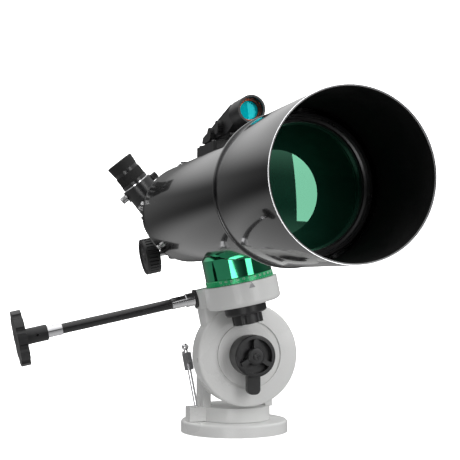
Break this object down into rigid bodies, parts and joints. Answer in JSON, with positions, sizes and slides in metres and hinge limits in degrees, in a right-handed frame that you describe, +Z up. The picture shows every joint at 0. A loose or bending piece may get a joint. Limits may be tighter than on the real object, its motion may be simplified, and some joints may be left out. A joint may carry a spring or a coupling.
{
  "type": "refractor telescope",
  "caption": "Short refractor telescope with dew shield, rack focuser, star diagonal, eyepiece and red-dot finder on a small equatorial mount head.",
  "frame": {"origin": "centre of the tripod screw hole on the underside of the base", "axes": "+Z up, -Y the way the tube looks, +X to the right seen from in front of the dew shield facing the rear"},
  "size_m": [0.2821, 0.5922, 0.3153],
  "materials": {
    "white_paint": "satin textured white paint",
    "bright_steel": "machined and polished",
    "chrome": "polished",
    "grey_casting": "as cast, satin",
    "black_plastic": "fine moulded grain",
    "black_metal": "satin black",
    "brass": "turned",
    "green_anodised": "green anodised, polished",
    "black_rod": "gloss",
    "gloss_black": "gloss black",
    "coated_glass": "green antireflection coating",
    "finder_glass": "cyan coating",
    "mirror_silver": "first-surface mirror",
    "rubber": "soft matt"
  },
  "bodies": {
    "base": {"base_plate": "white_paint"},
    "column": {"column": "white_paint"},
    "azimuth_bolt": {"azimuth_bolt": "chrome", "azimuth_bolt_wings": "grey_casting"},
    "polar_housing": {"polar_housing": "white_paint", "latitude_trunnions": "bright_steel"},
    "polar_head": {"polar_disc_and_declination_housing": "white_paint", "polar_axle": "bright_steel", "clamp_cup": "black_plastic", "worm_bush": "black_plastic", "declination_cap": "black_plastic"},
    "clamp_lever": {"clamp_lever": "black_plastic"},
    "clamp_knob": {"clamp_knob": "black_plastic"},
    "declination_lock_knob": {"declination_lock_knob": "black_plastic"},
    "slow_motion": {"worm_shaft": "bright_steel", "rod_ferrules": "chrome", "slow_motion_rod": "black_rod", "star_knob_hub": "black_plastic", "star_knob": "black_plastic"},
    "saddle_clamp_screw": {"saddle_clamp_screw": "bright_steel"},
    "tube": {"declination_spindle": "bright_steel", "worm_wheel": "brass", "setting_circle": "green_anodised", "saddle_hub": "green_anodised", "dovetail_bar": "black_metal", "dew_shield": "gloss_black", "dew_shield_ring": "gloss_black", "objective_cell": "black_metal", "crown_lens": "coated_glass", "flint_lens": "coated_glass", "lens_retaining_ring": "black_metal", "main_tube": "gloss_black", "small_screws": "bright_steel", "tube_baffles": "black_metal", "focuser_housing": "black_metal", "finder_shoe": "black_plastic", "finder_body": "black_plastic", "finder_hood": "black_plastic", "finder_window": "finder_glass"},
    "drawtube": {"drawtube": "chrome", "drawtube_rack": "black_metal", "drawtube_collar": "black_metal"},
    "focus_knobs": {"pinion_shaft": "bright_steel", "focus_knobs": "black_plastic"},
    "focus_lock_screw": {"focus_lock_screw": "bright_steel"},
    "collar_screw": {"collar_screw": "bright_steel"},
    "diagonal": {"diagonal_body": "black_plastic", "diagonal_back_plate": "grey_casting", "diagonal_nosepiece": "chrome", "diagonal_mirror": "mirror_silver", "eyepiece_holder": "black_metal"},
    "holder_screw_left": {"holder_screw_left": "bright_steel"},
    "holder_screw_right": {"holder_screw_right": "black_plastic"},
    "eyepiece": {"eyepiece_barrel": "chrome", "eyepiece_body": "black_metal", "eyepiece_lenses": "coated_glass", "eye_cup": "rubber"},
    "finder_wheel_side": {"finder_wheel_side": "black_plastic"},
    "finder_wheel_height": {"finder_wheel_height": "black_plastic"},
    "finder_switch": {"finder_switch": "black_plastic"}
  },
  "joints": [
    {"name": "azimuth_turn", "type": "hinge", "parent": "base", "child": "column", "pos_m": [0, 0, 0.02], "axis": [0, 0, 1], "continuous": true},
    {"name": "azimuth_bolt_turn", "type": "hinge", "parent": "column", "child": "azimuth_bolt", "pos_m": [-0.041, -0.005, 0.026], "axis": [-0.1908, 0, 0.9816], "range_deg": [0, 350]},
    {"name": "latitude_tilt", "type": "hinge", "parent": "column", "child": "polar_housing", "pos_m": [0, 0, 0.08], "axis": [-1, 0, 0], "range_deg": [0, 50]},
    {"name": "polar_turn", "type": "hinge", "parent": "polar_housing", "child": "polar_head", "pos_m": [0, 0, 0.08], "axis": [0, 1, 0], "range_deg": [-70, 95]},
    {"name": "clamp_lever_swing", "type": "hinge", "parent": "polar_head", "child": "clamp_lever", "pos_m": [0, -0.06, 0.08], "axis": [0, 1, 0], "range_deg": [-35, 35]},
    {"name": "clamp_knob_turn", "type": "hinge", "parent": "clamp_lever", "child": "clamp_knob", "pos_m": [0, -0.08, 0.08], "axis": [0, 1, 0], "range_deg": [0, 350]},
    {"name": "declination_turn", "type": "hinge", "parent": "polar_head", "child": "tube", "pos_m": [-0.01455, -0.07, 0.14847], "axis": [-0.2079, 0, 0.9781], "range_deg": [-65, 245]},
    {"name": "declination_lock_turn", "type": "hinge", "parent": "polar_head", "child": "declination_lock_knob", "pos_m": [-0.00769, -0.07, 0.11619], "axis": [-0.2079, 0, 0.9781], "range_deg": [0, 350]},
    {"name": "slow_motion_turn", "type": "hinge", "parent": "polar_head", "child": "slow_motion", "pos_m": [-0.11123, -0.046, 0.1223], "axis": [0.9781, 0, 0.2079], "continuous": true},
    {"name": "saddle_clamp_turn", "type": "hinge", "parent": "tube", "child": "saddle_clamp_screw", "pos_m": [-0.01823, -0.032, 0.16576], "axis": [0, 1, 0], "range_deg": [0, 350]},
    {"name": "focus_travel", "type": "slide", "parent": "tube", "child": "drawtube", "axis": [0, 1, 0], "range_m": [-0.012, 0.045]},
    {"name": "focus_knob_turn", "type": "hinge", "parent": "tube", "child": "focus_knobs", "pos_m": [-0.02287, 0.119, 0.1876], "axis": [0.9781, 0, 0.2079], "range_deg": [-370, 100]},
    {"name": "focus_lock_turn", "type": "hinge", "parent": "tube", "child": "focus_lock_screw", "pos_m": [-0.03056, 0.081, 0.27379], "axis": [0, 0, 1], "range_deg": [0, 350]},
    {"name": "collar_screw_turn", "type": "hinge", "parent": "drawtube", "child": "collar_screw", "pos_m": [-0.06278, 0.16, 0.23746], "axis": [-0.9205, 0, 0.3907], "range_deg": [0, 350]},
    {"name": "diagonal_turn", "type": "hinge", "parent": "drawtube", "child": "diagonal", "pos_m": [-0.03056, 0.188, 0.22379], "axis": [0, 1, 0], "continuous": true},
    {"name": "holder_screw_left_turn", "type": "hinge", "parent": "diagonal", "child": "holder_screw_left", "pos_m": [-0.07787, 0.188, 0.24725], "axis": [0.7771, 0, 0.6293], "range_deg": [0, 350]},
    {"name": "holder_screw_right_turn", "type": "hinge", "parent": "diagonal", "child": "holder_screw_right", "pos_m": [-0.04367, 0.188, 0.27494], "axis": [0.7771, 0, 0.6293], "range_deg": [0, 350]},
    {"name": "eyepiece_pull", "type": "slide", "parent": "diagonal", "child": "eyepiece", "axis": [-0.6293, 0, 0.7771], "range_m": [0, 0.014]},
    {"name": "finder_side_turn", "type": "hinge", "parent": "tube", "child": "finder_wheel_side", "pos_m": [-0.04156, -0.091, 0.29479], "axis": [1, 0, 0], "range_deg": [-180, 180]},
    {"name": "finder_height_turn", "type": "hinge", "parent": "tube", "child": "finder_wheel_height", "pos_m": [-0.04156, -0.065, 0.29179], "axis": [1, 0, 0], "range_deg": [-180, 180]},
    {"name": "finder_switch_turn", "type": "hinge", "parent": "tube", "child": "finder_switch", "pos_m": [-0.02056, -0.047, 0.29579], "axis": [1, 0, 0], "range_deg": [0, 270]}
  ],
  "couplings": [
    {"joint": "slow_motion_turn", "follows": "declination_turn", "ratio": 60},
    {"joint": "focus_knob_turn", "follows": "focus_travel", "rad_per_m": -142.86}
  ]
}
